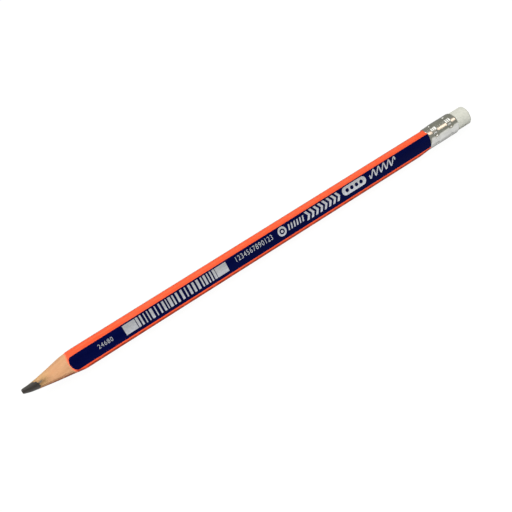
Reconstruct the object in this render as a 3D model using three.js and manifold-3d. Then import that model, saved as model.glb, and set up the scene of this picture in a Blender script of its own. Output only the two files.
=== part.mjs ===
// A soft-triangular graphite pencil with a crimped aluminium ferrule and a worn eraser.
// It lies along X with its point towards -X, one flat side down and one rounded edge up.
import * as THREE from 'three';
import { mergeVertices } from 'three/addons/utils/BufferGeometryUtils.js';
import Module from 'manifold-3d';

// Lengths along the pencil, in millimetres
const SHARPENED_LENGTH = 15.7;    // blunt point to the paint edge, at the middle of a side
const BARREL_LENGTH = 149.1;      // paint edge to the shoulder under the ferrule
const TENON_LENGTH = 6;           // turned-down wood inside the ferrule
const FERRULE_LENGTH = 13.3;
const ERASER_PROUD = 7.55;        // eraser outside the ferrule, at its longest

// Barrel section over the orange coat, in millimetres
const SIDE_DISTANCE = 3.3;        // axis to the middle of a side
const SIDE_RADIUS = 12;           // the sides are slightly crowned
const EDGE_RADIUS = 1.55;         // rounding of the three long edges
const LACQUER_THICKNESS = 0.05;
const STRIPE_WIDTH = 4.95;
const STRIPE_THICKNESS = 0.03;
const STRIPE_END_ROUND = 1.05;    // how far a stripe's corners lie behind the middle of its end
const STRIPE_GAP = 0.02;          // stripe to the coat below it
const SCALLOP_DEPTH = 0.6;        // how far the paint edge runs back on the long edges
const TURNED_RADIUS = 4;          // wood on the long edges where they meet the ferrule
const TURNED_LENGTH = 7;          // over which the long edges run down to it

// Lead and point, in millimetres
const LEAD_DIAMETER = 3;
const POINT_DIAMETER = 1.76;      // blunt end of the lead
const POINT_ROUND = 0.25;
const LEAD_ANGLE = 8.3;           // degrees from the axis to the sharpened lead
const CONE_ANGLE = 10.24;         // degrees from the axis to the sharpened wood
const CONE_BLEND = 0.15;          // softness of the shoulder where the cone runs into the barrel
const GLUE_LINE = 0.05;           // glue between the slats and round the lead
const FEATHER_EDGE = 0.06;        // wood left at the front of the cone

// Ferrule, in millimetres
const FERRULE_RADIUS = 4.05;      // outside, where it is round
const FERRULE_WALL = 0.3;
const START_ROUNDNESS = 0.8;      // 0 is the barrel's section, 1 is round
const BLEND_LENGTH = 6;           // from the barrel end to the fully round part
const LIP_LENGTH = 0.5;           // rim that is turned in on the eraser
const LIP_DEPTH = 0.1;
const CRIMP_FROM_BARREL = 2.85;   // middle of the band that grips the wood
const CRIMP_FROM_ERASER = 3.5;    // middle of the band that grips the eraser
const CRIMP_COUNT = 6;            // dents in each band
const CRIMP_DIAMETER = 2.3;
const CRIMP_DEPTH = 0.36;
const CRIMP_TURN = 12;            // degrees from the middle of a side to the nearest dent
const GROOVE_COUNT = 3;           // rolled grooves in each band
const GROOVE_PITCH = 0.8;
const GROOVE_WIDTH = 0.44;
const GROOVE_DEPTH = 0.09;

// Eraser, in millimetres
const ERASER_RADIUS = 3.65;
const ERASER_SLANT = 0.95;        // the worn side is this much shorter
const ERASER_EDGE = 0.2;          // rounding of the end on the unworn side
const ERASER_WORN_EDGE = 0.8;     // rounding of the end on the worn side
const ERASER_WORN_SIDE = 118;     // direction of the worn side, degrees from +Y towards +Z
const ERASER_SWELL = 0.3;         // length over which it swells behind the ferrule's rim

// Fits, in millimetres
const SHOULDER_GAP = 0.1;         // ferrule to the barrel's shoulder
const TENON_CUT = 0.1;            // wood taken off below the coat at the shoulder
const TENON_CLEARANCE = 0.12;     // tenon to the ferrule's inside
const ERASER_CLEARANCE = 0.06;    // eraser to the ferrule's inside
const SEAT_GAP = 0.15;            // eraser to the end of the tenon

// Fineness
const STRIPE_STEPS = 11;          // odd, so that each side has a flat facet in its middle
const EDGE_STEPS = 9;
const STEPS_PER_CRIMP = 10;
const LEAD_STEPS = 32;
const CONE_STEPS = 3;
const SHOULDER_STEPS = 4;
const LONGEST_STEP = 1.1;         // between rings of the ferrule and the eraser

// Places along X, with the origin at mid-length
const OVERALL_LENGTH = SHARPENED_LENGTH + BARREL_LENGTH + SHOULDER_GAP + FERRULE_LENGTH + ERASER_PROUD;
const X_POINT = -OVERALL_LENGTH / 2;
const X_PAINT = X_POINT + SHARPENED_LENGTH;
const X_SHOULDER = X_PAINT + BARREL_LENGTH;
const X_FERRULE = X_SHOULDER + SHOULDER_GAP;
const X_TENON_END = X_FERRULE + TENON_LENGTH;
const X_ERASER = X_TENON_END + SEAT_GAP;
const X_RIM = X_FERRULE + FERRULE_LENGTH;
const X_END = X_RIM + ERASER_PROUD;

// The pencil lies on the lower of its ferrule and its bottom stripe.
const AXIS_HEIGHT = Math.max(FERRULE_RADIUS, SIDE_DISTANCE + STRIPE_GAP + STRIPE_THICKNESS);

const { degToRad, lerp, smoothstep } = THREE.MathUtils;
const CONE_SLOPE = Math.tan(degToRad(CONE_ANGLE));
const X_WOOD = X_POINT + (LEAD_DIAMETER - POINT_DIAMETER) / 2 / Math.tan(degToRad(LEAD_ANGLE));
const SIDE_ANGLES = [30, 150, 270].map(degToRad);
const THIRD_TURN = degToRad(120);

// Barrel section: three crowned sides that run tangent into three rounded edges.
// Each side arc's centre lies across the axis, each edge arc's centre on the corner's line.
const SIDE_CENTRE = SIDE_RADIUS - SIDE_DISTANCE;
const ARC_DIFFERENCE = SIDE_RADIUS - EDGE_RADIUS;
const SIDE_HALF_ARC = Math.PI / 3 - Math.asin((Math.sqrt(3) * SIDE_CENTRE) / (2 * ARC_DIFFERENCE));
const EDGE_CENTRE = 2 * (ARC_DIFFERENCE * Math.cos(SIDE_HALF_ARC) - SIDE_CENTRE);

// Signed angle from the middle of the nearest side.
function fromSide(angle) {
  const turns = (angle - SIDE_ANGLES[0]) / THIRD_TURN;
  return (turns - Math.round(turns)) * THIRD_TURN;
}

// Distance from the axis to the section in one direction; grow moves the whole outline outwards.
function sectionRadius(angle, grow = 0) {
  const off = Math.abs(fromSide(angle));
  const side = SIDE_RADIUS + grow;
  const tangentAngle = Math.atan2(
    side * Math.sin(SIDE_HALF_ARC),
    side * Math.cos(SIDE_HALF_ARC) - SIDE_CENTRE,
  );
  if (off <= tangentAngle) {
    return Math.sqrt(side ** 2 - (SIDE_CENTRE * Math.sin(off)) ** 2) - SIDE_CENTRE * Math.cos(off);
  }
  const toEdge = Math.PI / 3 - off;
  const edge = EDGE_RADIUS + grow;
  return EDGE_CENTRE * Math.cos(toEdge) + Math.sqrt(edge ** 2 - (EDGE_CENTRE * Math.sin(toEdge)) ** 2);
}

// Half of the angle that a stripe takes, from its half width across the side.
function stripeHalfAngle() {
  const half = STRIPE_WIDTH / 2;
  const onSide = Math.asin(half / SIDE_RADIUS);
  if (onSide <= SIDE_HALF_ARC) {
    return Math.atan2(half, SIDE_RADIUS * Math.cos(onSide) - SIDE_CENTRE);
  }
  const onEdge = Math.asin((half - EDGE_CENTRE * Math.sin(Math.PI / 3)) / EDGE_RADIUS);
  return Math.atan2(half, EDGE_CENTRE / 2 + EDGE_RADIUS * Math.cos(onEdge));
}
const STRIPE_HALF_ANGLE = stripeHalfAngle();

function stripeAngles(sideAngle) {
  const angles = [];
  for (let i = 0; i <= STRIPE_STEPS; i += 1) {
    angles.push(sideAngle + STRIPE_HALF_ANGLE * ((2 * i) / STRIPE_STEPS - 1));
  }
  return angles;
}

// Directions that the wood and the coat share, with a line on every stripe border.
function barrelAngles() {
  const angles = [];
  for (const sideAngle of SIDE_ANGLES) {
    const across = stripeAngles(sideAngle);
    const gap = THIRD_TURN - 2 * STRIPE_HALF_ANGLE;
    angles.push(...across);
    for (let i = 1; i < EDGE_STEPS; i += 1) {
      angles.push(across[STRIPE_STEPS] + (gap * i) / EDGE_STEPS);
    }
  }
  return angles;
}
const BARREL_ANGLES = barrelAngles();

// Directions round the ferrule and the eraser, with a dent in the middle of every tenth facet.
const FERRULE_STEPS = CRIMP_COUNT * STEPS_PER_CRIMP;
const FIRST_CRIMP = SIDE_ANGLES[0] - degToRad(CRIMP_TURN);
const FERRULE_ANGLES = Array.from(
  { length: FERRULE_STEPS },
  (_, i) => FIRST_CRIMP + ((i + 0.5) * 2 * Math.PI) / FERRULE_STEPS,
);

// A ring of points; place and radius are functions of the direction.
function ring(angles, placeAt, radiusAt) {
  return angles.map((angle) => {
    const radius = radiusAt(angle);
    return new THREE.Vector3(placeAt(angle), radius * Math.cos(angle), radius * Math.sin(angle));
  });
}

// A closed surface through rings of equal point count.
// ends is 'loop' to join the last ring to the first, 'fan' for round ends,
// or 'strip' for rings that run out along one side of a sheet and back along the other.
function loft(rings, ends) {
  const count = rings[0].length;
  const points = rings.flat();
  const faces = [];
  // A bent face folds along its shorter diagonal, so two skins through the same points match.
  const quad = (a, b, c, d) => {
    if (points[a].distanceToSquared(points[c]) <= points[b].distanceToSquared(points[d])) {
      faces.push(a, b, c, a, c, d);
    } else {
      faces.push(a, b, d, b, c, d);
    }
  };
  const spans = ends === 'loop' ? rings.length : rings.length - 1;
  for (let j = 0; j < spans; j += 1) {
    const here = j * count;
    const next = ((j + 1) % rings.length) * count;
    for (let i = 0; i < count; i += 1) {
      const after = (i + 1) % count;
      quad(here + i, here + after, next + after, next + i);
    }
  }
  const last = (rings.length - 1) * count;
  if (ends === 'fan') {
    const middleOf = (one) => one.reduce((sum, p) => sum.add(p), new THREE.Vector3()).divideScalar(count);
    const startMiddle = points.push(middleOf(rings[0])) - 1;
    const endMiddle = points.push(middleOf(rings[rings.length - 1])) - 1;
    for (let i = 0; i < count; i += 1) {
      const after = (i + 1) % count;
      faces.push(startMiddle, after, i, endMiddle, last + i, last + after);
    }
  }
  if (ends === 'strip') {
    for (let i = 0; i < count / 2 - 1; i += 1) {
      const back = count - 1 - i;
      quad(i + 1, i, back, back - 1);
      quad(last + i, last + i + 1, last + back - 1, last + back);
    }
  }
  const geometry = new THREE.BufferGeometry().setFromPoints(points);
  geometry.setIndex(faces);
  return geometry;
}

// Sorted places that hold every mark and leave no step longer than LONGEST_STEP.
function stations(start, end, marks) {
  const inside = marks.filter((mark) => mark > start && mark < end);
  const fixed = [start, ...inside.sort((a, b) => a - b), end];
  const places = [start];
  for (const place of fixed.slice(1)) {
    const from = places[places.length - 1];
    const steps = Math.ceil((place - from) / LONGEST_STEP);
    for (let i = 1; i <= steps; i += 1) {
      places.push(lerp(from, place, i / steps));
    }
  }
  return places;
}

// Ferrule surface: the barrel's section blends into a round tube with two crimped bands.
const CRIMP_BANDS = [X_FERRULE + CRIMP_FROM_BARREL, X_RIM - CRIMP_FROM_ERASER];
const GROOVES = CRIMP_BANDS.flatMap((band) =>
  Array.from({ length: GROOVE_COUNT }, (_, i) => band + (i - (GROOVE_COUNT - 1) / 2) * GROOVE_PITCH));

function crimpDepth(x, angle) {
  const pitch = (2 * Math.PI) / CRIMP_COUNT;
  const turns = (angle - FIRST_CRIMP) / pitch;
  const around = (turns - Math.round(turns)) * pitch * FERRULE_RADIUS;
  let depth = 0;
  for (const band of CRIMP_BANDS) {
    const away = Math.hypot(x - band, around) / (CRIMP_DIAMETER / 2);
    depth += CRIMP_DEPTH * (1 - smoothstep(away, 0, 1));
  }
  return depth;
}

function grooveDepth(x) {
  let depth = 0;
  for (const groove of GROOVES) {
    depth += GROOVE_DEPTH * Math.max(0, 1 - Math.abs(x - groove) / (GROOVE_WIDTH / 2));
  }
  return depth;
}

function ferruleForm(x, angle) {
  const roundness = lerp(START_ROUNDNESS, 1, smoothstep(x - X_FERRULE, 0, BLEND_LENGTH));
  const lip = LIP_DEPTH * Math.max(0, 1 - (X_RIM - x) / LIP_LENGTH) ** 2;
  return lerp(sectionRadius(angle), FERRULE_RADIUS, roundness) - lip - crimpDepth(x, angle);
}

const ferruleOutside = (x, angle) => ferruleForm(x, angle) - grooveDepth(x);
const ferruleInside = (x, angle) => ferruleForm(x, angle) - FERRULE_WALL;

const CRIMP_MARKS = CRIMP_BANDS.flatMap((band) =>
  [-1, -0.6, -0.25, 0.25, 0.6, 1].map((share) => band + (share * CRIMP_DIAMETER) / 2));
const GROOVE_MARKS = GROOVES.flatMap((groove) =>
  [-1, 0, 1].map((share) => groove + (share * GROOVE_WIDTH) / 2));
const BAND_ENDS = CRIMP_BANDS.flatMap((band) => [band - CRIMP_DIAMETER / 2, band + CRIMP_DIAMETER / 2]);
const LIP_MARKS = [X_RIM - LIP_LENGTH, X_RIM - LIP_LENGTH / 2];

// Sharpened end: a round cone that runs into the barrel's section over a soft shoulder.
const boreRadius = LEAD_DIAMETER / 2 + GLUE_LINE;
const woodFront = boreRadius + FEATHER_EDGE;
const X_FULL = X_WOOD + (EDGE_CENTRE + EDGE_RADIUS + CONE_BLEND - woodFront) / CONE_SLOPE;

function softMin(a, b) {
  const overlap = Math.max(0, CONE_BLEND - Math.abs(a - b));
  return Math.min(a, b) - overlap ** 2 / (4 * CONE_BLEND);
}

// Distance from the axis to the wood, or to the paint when grow adds its layers.
function barrelRadius(x, angle, grow) {
  const cone = woodFront + CONE_SLOPE * (x - X_WOOD);
  const full = EDGE_CENTRE + EDGE_RADIUS;
  const turned = lerp(TURNED_RADIUS, full, (X_SHOULDER - x) / TURNED_LENGTH);
  const section = sectionRadius(angle, grow - LACQUER_THICKNESS);
  return Math.min(softMin(cone + grow, section), turned + grow);
}

const EDGE_RISE = EDGE_CENTRE + EDGE_RADIUS - SIDE_DISTANCE;
const paintEdge = (angle) => X_PAINT + (SCALLOP_DEPTH * (sectionRadius(angle) - SIDE_DISTANCE)) / EDGE_RISE;

function tenonRadius(x, angle) {
  const turned = sectionRadius(angle, -LACQUER_THICKNESS - TENON_CUT);
  return Math.min(turned, ferruleInside(Math.max(x, X_FERRULE), angle) - TENON_CLEARANCE);
}

// Rings from a front edge over the soft shoulder and along the barrel.
function barrelRings(angles, frontAt, grow) {
  const places = [];
  for (let j = 0; j <= SHOULDER_STEPS; j += 1) {
    places.push((angle) => lerp(frontAt(angle), X_FULL, j / SHOULDER_STEPS));
  }
  places.push(() => X_SHOULDER - TURNED_LENGTH, () => X_SHOULDER);
  return places.map((place) => ring(angles, place, (angle) => barrelRadius(place(angle), angle, grow)));
}

// Wood: the sharpened cone, the barrel, and a tenon inside the ferrule.
function woodBlank() {
  const rings = [];
  for (let j = 0; j < CONE_STEPS; j += 1) {
    const place = (angle) => lerp(X_WOOD, paintEdge(angle), j / CONE_STEPS);
    rings.push(ring(BARREL_ANGLES, place, (angle) => barrelRadius(place(angle), angle, 0)));
  }
  rings.push(...barrelRings(BARREL_ANGLES, paintEdge, 0));
  for (const x of stations(X_SHOULDER, X_TENON_END, CRIMP_MARKS)) {
    rings.push(ring(BARREL_ANGLES, () => x, (angle) => tenonRadius(x, angle)));
  }
  return loft(rings, 'fan');
}

// Lead: one revolved profile with a blunt, slightly rounded point.
function leadRod() {
  const lead = LEAD_DIAMETER / 2;
  const point = POINT_DIAMETER / 2;
  const profile = [
    [0, X_POINT],
    [point - POINT_ROUND, X_POINT],
    [point, X_POINT + POINT_ROUND],
    [lead, X_WOOD],
    [lead, X_TENON_END],
    [0, X_TENON_END],
  ].map(([radius, x]) => new THREE.Vector2(radius, x));
  return new THREE.LatheGeometry(profile, LEAD_STEPS).rotateZ(-Math.PI / 2);
}

// Orange coat: a thin sleeve whose front is cut at the cone's slope.
const coatFront = (angle) => paintEdge(angle) + LACQUER_THICKNESS / CONE_SLOPE;

function coatSleeve() {
  return loft([
    ...barrelRings(BARREL_ANGLES, coatFront, LACQUER_THICKNESS),
    ...barrelRings(BARREL_ANGLES, paintEdge, 0).reverse(),
  ], 'loop');
}

// Blue stripe on one side, with a rounded front end.
function sideStripe(sideAngle) {
  const angles = stripeAngles(sideAngle);
  const front = (angle) => {
    const across = Math.min(1, Math.abs(angle - sideAngle) / STRIPE_HALF_ANGLE);
    const bow = 1 - Math.sqrt(1 - across ** 2);
    return coatFront(angle) + STRIPE_END_ROUND * bow;
  };
  const bottom = LACQUER_THICKNESS + STRIPE_GAP;
  const under = barrelRings(angles, front, bottom);
  const top = barrelRings(angles, front, bottom + STRIPE_THICKNESS);
  return loft(top.map((points, j) => [...points, ...under[j].reverse()]), 'strip');
}

// Ferrule: one drawn tube, outside rings forward and inside rings back.
function ferruleTube() {
  const outside = stations(X_FERRULE, X_RIM, [...GROOVE_MARKS, ...BAND_ENDS, ...LIP_MARKS]);
  const inside = stations(X_FERRULE, X_RIM, [...CRIMP_MARKS, ...LIP_MARKS]);
  return loft([
    ...outside.map((x) => ring(FERRULE_ANGLES, () => x, (angle) => ferruleOutside(x, angle))),
    ...inside.reverse().map((x) => ring(FERRULE_ANGLES, () => x, (angle) => ferruleInside(x, angle))),
  ], 'loop');
}

// Eraser: a plug that takes the ferrule's dents, swells behind the rim and ends in a slanted, worn face.
function eraserPlug() {
  const worn = (angle) => (1 + Math.cos(angle - degToRad(ERASER_WORN_SIDE))) / 2;
  const gripped = (x, angle) => Math.min(ERASER_RADIUS, ferruleInside(x, angle) - ERASER_CLEARANCE);
  const rings = stations(X_FERRULE, X_RIM, [X_ERASER, ...CRIMP_MARKS, ...LIP_MARKS])
    .filter((x) => x >= X_ERASER)
    .map((x) => ring(FERRULE_ANGLES, () => x, (angle) => gripped(x, angle)));
  rings.push(ring(FERRULE_ANGLES, () => X_RIM + ERASER_SWELL, () => ERASER_RADIUS));
  const rounding = (angle) => lerp(ERASER_EDGE, ERASER_WORN_EDGE, worn(angle));
  const steps = 5;
  for (let j = 0; j <= steps; j += 1) {
    const turn = ((j / steps) * Math.PI) / 2;
    const radius = (angle) => ERASER_RADIUS - rounding(angle) * (1 - Math.cos(turn));
    const endFace = (angle) => {
      const share = (radius(angle) / ERASER_RADIUS) * (2 * worn(angle) - 1);
      return X_END - (ERASER_SLANT * (1 + share)) / 2;
    };
    const place = (angle) => endFace(angle) - rounding(angle) * (1 - Math.sin(turn));
    rings.push(ring(FERRULE_ANGLES, place, radius));
  }
  return loft(rings, 'fan');
}

// The glued blank is cut along the glue line and bored for the lead, which leaves two grooved slats.
const wasm = await Module();
wasm.setup();

function toSolid(geometry) {
  const bare = new THREE.BufferGeometry();
  bare.setAttribute('position', geometry.getAttribute('position'));
  bare.setIndex(geometry.getIndex());
  const merged = mergeVertices(bare, 1e-4);
  return new wasm.Manifold(new wasm.Mesh({
    numProp: 3,
    vertProperties: merged.getAttribute('position').array,
    triVerts: new Uint32Array(merged.getIndex().array),
  }));
}

function toGeometry(solid) {
  const mesh = solid.getMesh();
  const geometry = new THREE.BufferGeometry();
  geometry.setAttribute('position', new THREE.BufferAttribute(mesh.vertProperties, 3));
  geometry.setIndex(new THREE.BufferAttribute(mesh.triVerts, 1));
  return geometry;
}

const blank = toSolid(woodBlank());
const bore = toSolid(
  new THREE.CylinderGeometry(boreRadius, boreRadius, 2 * OVERALL_LENGTH, LEAD_STEPS).rotateZ(-Math.PI / 2),
);

function woodSlat(direction) {
  const depth = 4 * (EDGE_CENTRE + EDGE_RADIUS);
  const half = new THREE.BoxGeometry(2 * OVERALL_LENGTH, depth, depth);
  half.translate(0, 0, (direction * (depth + GLUE_LINE)) / 2);
  return toGeometry(blank.intersect(toSolid(half)).subtract(bore));
}

// Materials
const graphite = { color: 0x4b4948, roughness: 0.45, metalness: 0.2 };
const wood = { color: 0xdfaa7e, roughness: 0.75, metalness: 0 };
const lacquer = { color: 0xff6a40, roughness: 0.25, metalness: 0 };
const stripe = { color: 0x06083c, roughness: 0.2, metalness: 0 };
const aluminium = { color: 0xbdbdb8, roughness: 0.25, metalness: 1 };
const vinyl = { color: 0xe4e5dd, roughness: 0.8, metalness: 0 };

const pencil = new THREE.Group();
const axis = new THREE.Group();
axis.position.z = AXIS_HEIGHT;
pencil.add(axis);

function addPiece(name, geometry, look) {
  geometry.computeVertexNormals();
  const mesh = new THREE.Mesh(geometry, new THREE.MeshStandardMaterial({ ...look, flatShading: true }));
  mesh.name = name;
  axis.add(mesh);
}

addPiece('graphite_core', leadRod(), graphite);
addPiece('wood_slat_upper', woodSlat(1), wood);
addPiece('wood_slat_lower', woodSlat(-1), wood);
addPiece('base_lacquer', coatSleeve(), lacquer);
addPiece('stripe_back', sideStripe(SIDE_ANGLES[0]), stripe);
addPiece('stripe_front', sideStripe(SIDE_ANGLES[1]), stripe);
addPiece('stripe_bottom', sideStripe(SIDE_ANGLES[2]), stripe);
addPiece('ferrule', ferruleTube(), aluminium);
addPiece('eraser', eraserPlug(), vinyl);

export default pencil;
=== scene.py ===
"""Looks of a soft-triangular graphite pencil with a crimped aluminium ferrule and a worn eraser.

Sizes are in millimetres, apart from those of the lamps, which are in metres. Pieces are modelled in
millimetres and become metres when they are finished.
The pencil lies along X with its point towards -X. Directions round its axis run from +Y towards +Z.
"""

import math

import bpy
import numpy as np
from mathutils import Matrix, Vector, noise


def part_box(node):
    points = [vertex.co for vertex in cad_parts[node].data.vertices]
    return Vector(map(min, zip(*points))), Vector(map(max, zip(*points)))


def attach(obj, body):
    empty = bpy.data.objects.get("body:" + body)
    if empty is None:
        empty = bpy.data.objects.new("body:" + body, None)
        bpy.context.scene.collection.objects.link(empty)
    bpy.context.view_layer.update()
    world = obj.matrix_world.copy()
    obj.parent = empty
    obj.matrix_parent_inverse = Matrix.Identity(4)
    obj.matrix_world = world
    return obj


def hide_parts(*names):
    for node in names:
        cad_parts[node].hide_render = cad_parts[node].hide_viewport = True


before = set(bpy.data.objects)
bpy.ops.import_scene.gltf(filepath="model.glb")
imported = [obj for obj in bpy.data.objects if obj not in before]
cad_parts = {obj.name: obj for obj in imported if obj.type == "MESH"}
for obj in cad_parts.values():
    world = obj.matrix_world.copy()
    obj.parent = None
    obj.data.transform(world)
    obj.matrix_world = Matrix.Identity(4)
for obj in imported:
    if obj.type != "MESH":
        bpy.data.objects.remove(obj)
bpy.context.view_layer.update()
MM = 0.001


def x_range(node):
    """First and last place of a CAD node along X."""
    low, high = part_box(node)
    return low.x / MM, high.x / MM


# Places along X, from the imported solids
X_POINT, X_LEAD_END = x_range("graphite_core")
X_WOOD, X_TENON_END = x_range("wood_slat_upper")
X_PAINT, X_SHOULDER = x_range("base_lacquer")
X_FERRULE, X_RIM = x_range("ferrule")
X_ERASER, X_END = x_range("eraser")

# Barrel section over the orange coat
SIDE_DISTANCE = 3.3  # axis to the middle of a side
SIDE_RADIUS = 12.0  # crown of the sides
EDGE_RADIUS = 1.55  # rounding of the long edges
COAT_THICKNESS = 0.05
STRIPE_WIDTH = 4.95
STRIPE_RISE = 0.05  # top of a stripe over the coat
STRIPE_END_ROUND = 1.05  # how far a stripe's corners lie behind the middle of its end
PAINT_BACK = 0.475  # the coat has chipped back a little from the cut
PAINT_TILT = 0.54  # more on one side and less on the other
PAINT_TILT_SIDE = 291  # direction in which the coat lies furthest back, degrees
SCALLOP_DEPTH = 0.35  # how far the paint edge runs back on the long edges
PAINT_CHIP = 0.06  # unevenness of the cut paint edge
PAINT_CHIPS = (26, 4.7)  # chips in a turn, and their seed
RUBBED_DEPTH = 0.22  # the long edges are rubbed pale this far down
TURNED_RADIUS = 3.92  # wood on the long edges where they meet the ferrule
TURNED_LENGTH = 7.0  # over which the long edges run down to it

# Lead and wood
POINT_RADIUS = 0.88
POINT_ROUND = 0.25
WRITING_FACET = 0.2  # depth that writing has rubbed off one side of the point
WRITING_SIDE = 232  # direction of that side, degrees
WRITING_REACH = 1.6  # length of the rubbed side
LEAD_ANGLE = 8.3  # degrees from the axis to the sharpened lead
CONE_ANGLE = 10.6  # degrees from the axis to the sharpened wood
CONE_BREAK = 5.5  # from the point to the place where the cone gets steeper
CONE_BLEND = 0.15  # softness of the shoulder where the cone runs into the barrel
CONE_SHIFT = 0.28  # the sharpener cut this far to one side of the axis
CONE_SHIFT_SIDE = 220  # direction of that side, degrees
CONE_SHIFT_WHOLE = 3.5  # from the point to where the shift is whole
CONE_SHIFT_FADE = 8  # from the point to where it begins to fade out
BORDER_FROM_POINT = 3.53  # bare lead, on average
BORDER_SLANT = 2.1  # the wood reaches further forward on one side
BORDER_FAR_SIDE = 154  # direction in which the lead is bare longest, degrees
BORDER_TEAR = 0.25  # raggedness of the border
BORDER_TEARS = ((0.65, 12, 3.6), (0.35, 34, 8.1))  # share, tears in a turn and seed
SMEAR_FROM_POINT = 6.1  # spot of graphite rubbed into the wood
SMEAR_SIDE = 138  # its direction, degrees
SMEAR_SIZE = (1.1, 0.42)  # half length and half width
HALO_SIDE = 147  # direction of the dirt round it, degrees
HALO_SIZE = (6.0, 1.75)  # half length and half width
SMEAR_FRAY = 1 / 3  # share of their reach by which the grain frays both
TAN_REACH = 9.0  # the wood is yellower this far from the lead
FEATHER_EDGE = 0.05  # wood left at its front
GLUE_LINE = 0.05
TENON_CUT = 0.1
TENON_CLEARANCE = 0.12

# Ferrule
FERRULE_RADIUS = 4.05
FERRULE_WALL = 0.3
START_ROUNDNESS = 0.8  # 0 is the barrel's section, 1 is round
BLEND_LENGTH = 6.0
MOUTH_TAPER = 0.015  # the tube narrows by this share towards its mouth
LIP_LENGTH = 0.5
LIP_DEPTH = 0.1
RIM_ROUND = 0.05
MOUTH_GAP = 0.03  # ferrule's mouth to the coat
MOUTH_OVERLAP = 0.25  # the mouth reaches this far over the end of the coat
MOUTH_BACK = 0.27  # the mouth lies this far behind its plain place
MOUTH_TILT = 0.9  # the mouth is pressed on askew
MOUTH_TILT_SIDE = 200  # direction in which it reaches furthest over the barrel, degrees
MOUTH_SCALLOP = 0.7  # how far it reaches further over the long edges
MOUTH_LENGTH = 2.0  # over which this fades out along the ferrule
MOUTH_WALL = 0.12  # metal over the coat at the very mouth
MOUTH_DRAWN = 0.35  # length over which the tube is drawn in to it
CRIMP_FROM_BARREL = 2.85
CRIMP_FROM_ERASER = 3.5
CRIMP_COUNT = 6
CRIMP_DIAMETER = 2.3
CRIMP_DEPTH = 0.36
CRIMP_FLOOR = 0.35  # flat part of a dent, as a share of its diameter
CRIMP_TURN = 12  # degrees from the middle of a side to the nearest dent
GROOVE_COUNT = 3
GROOVE_PITCH = 0.8
GROOVE_LEAN = 0.22  # place of a groove's deepest line, as a share of the pitch
GROOVE_DEPTH = 0.11

# Eraser
ERASER_RADIUS = 3.65
ERASER_SLANT = 0.95
ERASER_EDGE = 0.2
ERASER_WORN_EDGE = 0.8
ERASER_WORN_SIDE = 118  # direction of the worn side, degrees
ERASER_SWELL = 0.3
ERASER_CLEARANCE = 0.06
ERASER_WOBBLE = 0.02  # unevenness of the rubbed vinyl
ERASER_LUMPS = ((1.0, 0.9), (0.5, 2.6))  # share and lumps in a millimetre
ERASER_LEAN = 0.3  # how far the direction in which it wears leans along X

# Foil marks on the front stripe
FOIL_THICKNESS = 0.014
FOIL_SINK = 0.004  # the foil is pressed this far into the stripe

# Fineness
STEPS_AROUND = 240
STEPS_ACROSS_STRIPE = 32
STEPS_ALONG_BARREL = 30
STEPS_ALONG_SHOULDER = 18
STEPS_ALONG_CONE = 28
STEPS_ALONG_TURNED = 4  # from the barrel down to the ferrule
STEPS_ALONG_TENON = 12
STEPS_ROUND_POINT = 9
STEPS_ALONG_LEAD = 40
STEPS_ALONG_FERRULE = 200
INSIDE_STEP = 4  # the ferrule's inside has a ring for every fourth one outside
STEPS_ALONG_PLUG = 12
STEPS_ALONG_ERASER = 16
STEPS_ROUND_ERASER = 14
STEPS_ACROSS_ERASER = 18
SHARP_ANGLE = math.radians(40)

AXIS_HEIGHT = FERRULE_RADIUS
SIDE_ANGLES = np.radians([30, 150, 270])
FRONT_SIDE = SIDE_ANGLES[1]
THIRD_TURN = math.radians(120)
AROUND = np.linspace(0, 2 * math.pi, STEPS_AROUND, endpoint=False)

# Barrel section: each side arc's centre lies across the axis, each edge arc's centre on the corner's line
SIDE_CENTRE = SIDE_RADIUS - SIDE_DISTANCE
ARC_DIFFERENCE = SIDE_RADIUS - EDGE_RADIUS
SIDE_HALF_ARC = math.pi / 3 - math.asin(math.sqrt(3) * SIDE_CENTRE / (2 * ARC_DIFFERENCE))
EDGE_CENTRE = 2 * (ARC_DIFFERENCE * math.cos(SIDE_HALF_ARC) - SIDE_CENTRE)
EDGE_REACH = EDGE_CENTRE + EDGE_RADIUS
EDGE_RISE = EDGE_REACH - SIDE_DISTANCE

# Sharpened cone; from X_FULL on it lies outside the long edges
LEAD_SLOPE = math.tan(math.radians(LEAD_ANGLE))
CONE_SLOPE = math.tan(math.radians(CONE_ANGLE))
BREAK_RADIUS = POINT_RADIUS + LEAD_SLOPE * CONE_BREAK
X_FULL = X_POINT + CONE_BREAK + (EDGE_REACH + CONE_BLEND - BREAK_RADIUS) / CONE_SLOPE


def section_radius(angle, grow=0.0):
    """Distance from the axis to the barrel's outline; grow moves the whole outline outwards."""
    turns = (angle - SIDE_ANGLES[0]) / THIRD_TURN
    off = np.abs(turns - np.round(turns)) * THIRD_TURN
    side = SIDE_RADIUS + grow
    edge = EDGE_RADIUS + grow
    tangent = math.atan2(side * math.sin(SIDE_HALF_ARC), side * math.cos(SIDE_HALF_ARC) - SIDE_CENTRE)
    on_side = np.sqrt(side**2 - (SIDE_CENTRE * np.sin(off)) ** 2) - SIDE_CENTRE * np.cos(off)
    to_edge = math.pi / 3 - off
    room = np.maximum(0, edge**2 - (EDGE_CENTRE * np.sin(to_edge)) ** 2)
    on_edge = EDGE_CENTRE * np.cos(to_edge) + np.sqrt(room)
    return np.where(off <= tangent, on_side, on_edge)


def stripe_half_angle():
    """Half of the angle that a stripe takes; its borders lie on the crown, short of the rounded edges."""
    half = STRIPE_WIDTH / 2
    on_side = math.asin(half / SIDE_RADIUS)
    return math.atan2(half, SIDE_RADIUS * math.cos(on_side) - SIDE_CENTRE)


def edge_share(angle):
    """0 in the middle of a side, 1 on a long edge."""
    return (section_radius(angle) - SIDE_DISTANCE) / EDGE_RISE


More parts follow.
